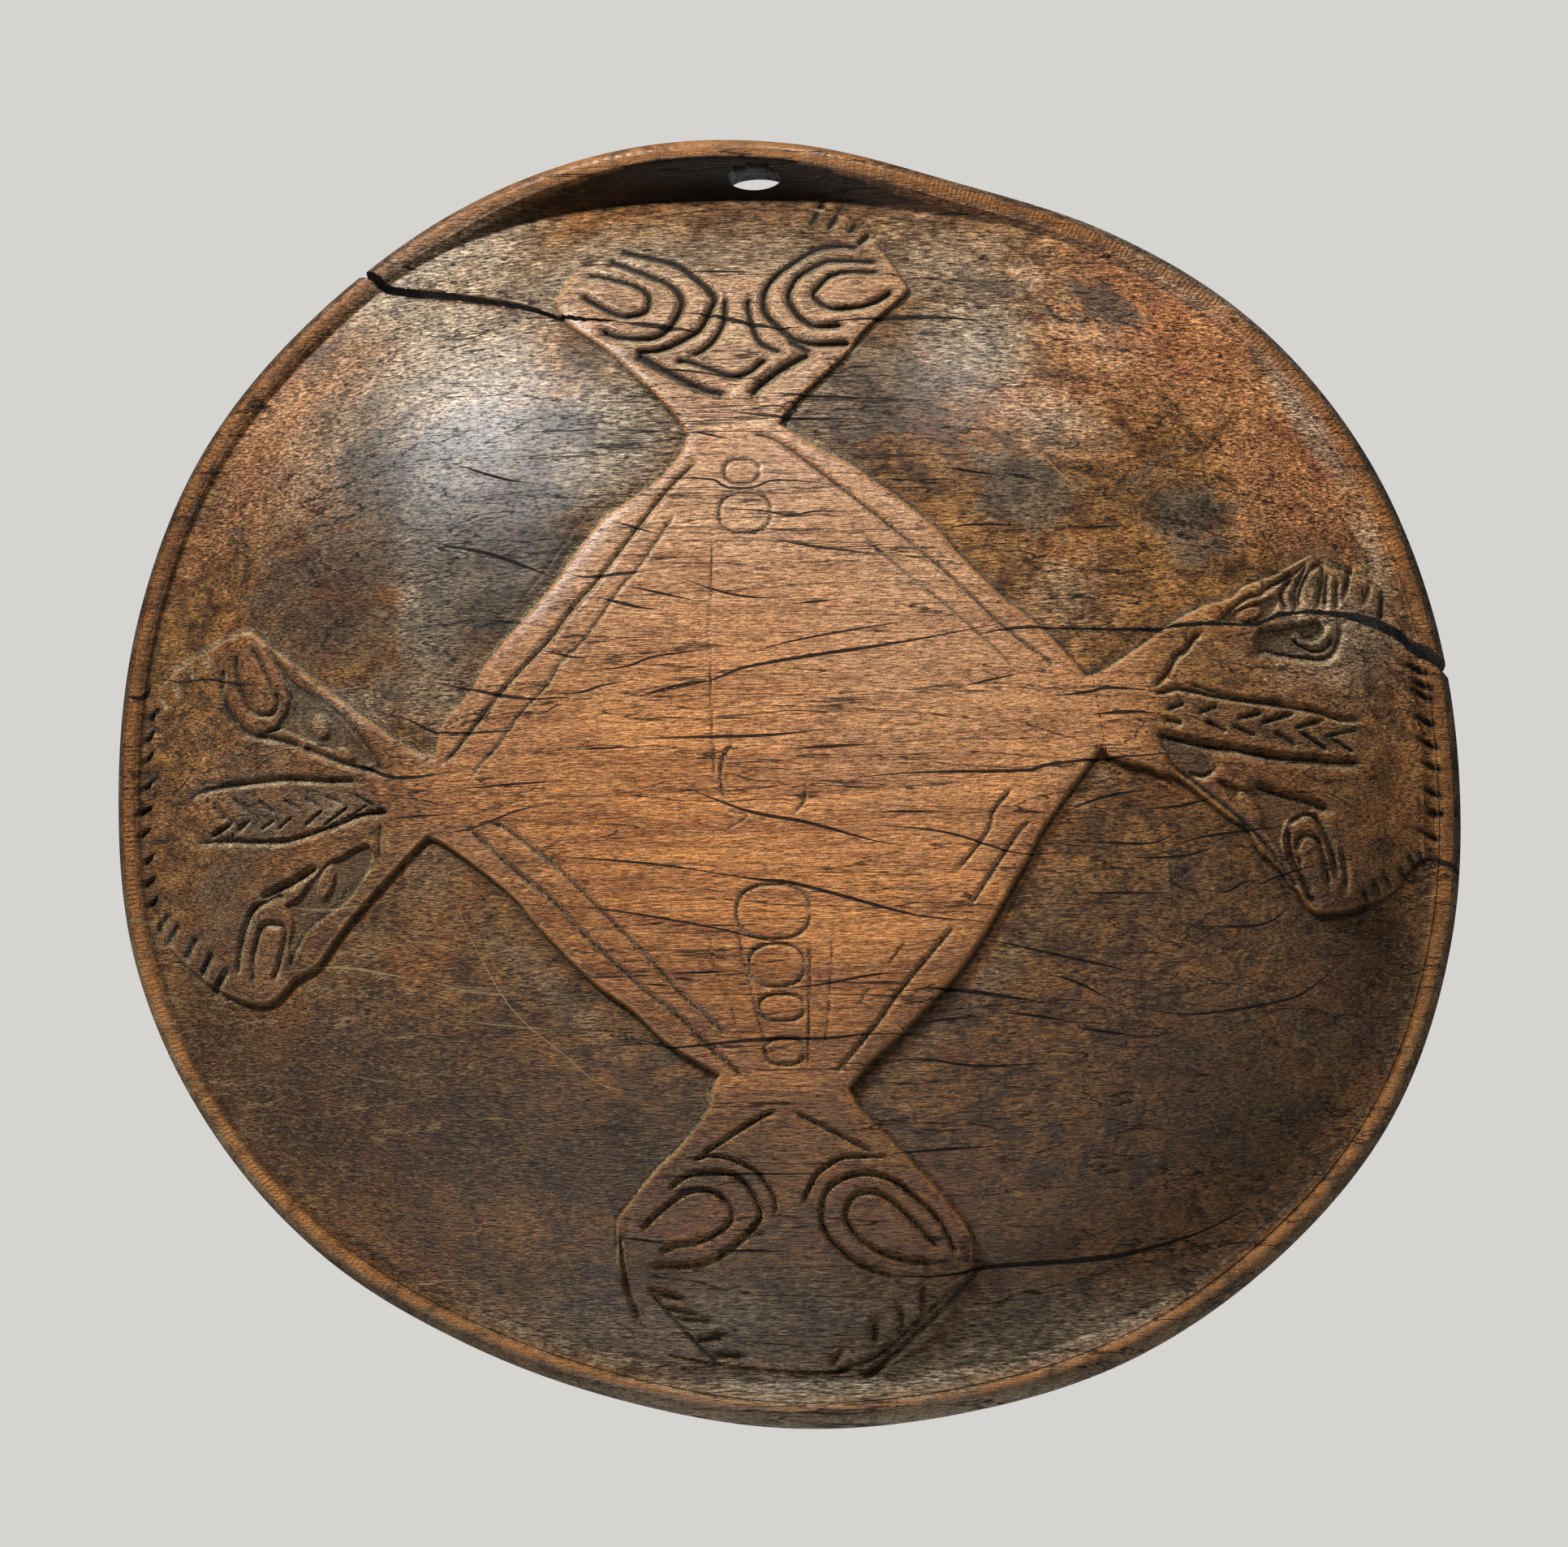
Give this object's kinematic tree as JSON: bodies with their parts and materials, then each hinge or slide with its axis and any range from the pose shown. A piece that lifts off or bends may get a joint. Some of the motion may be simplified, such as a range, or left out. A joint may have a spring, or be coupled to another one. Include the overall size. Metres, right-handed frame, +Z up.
{
  "type": "wooden platter",
  "caption": "Round, shallow wooden dish hung by a hole in its rim, its convex underside carved in low relief with a lozenge and stylised heads.",
  "frame": {"origin": "in the suspension hole at the top of the rim, in the rim plane", "axes": "as it hangs, seen from the carved side: +X to the right, +Z up, +Y away from the viewer into the hollow side; the carved, convex underside faces -Y"},
  "size_m": [0.4982, 0.0768, 0.4784],
  "materials": {
    "dark_wood": "worn satin patina"
  },
  "bodies": {
    "root": {"platter": "dark_wood"}
  },
  "joints": []
}
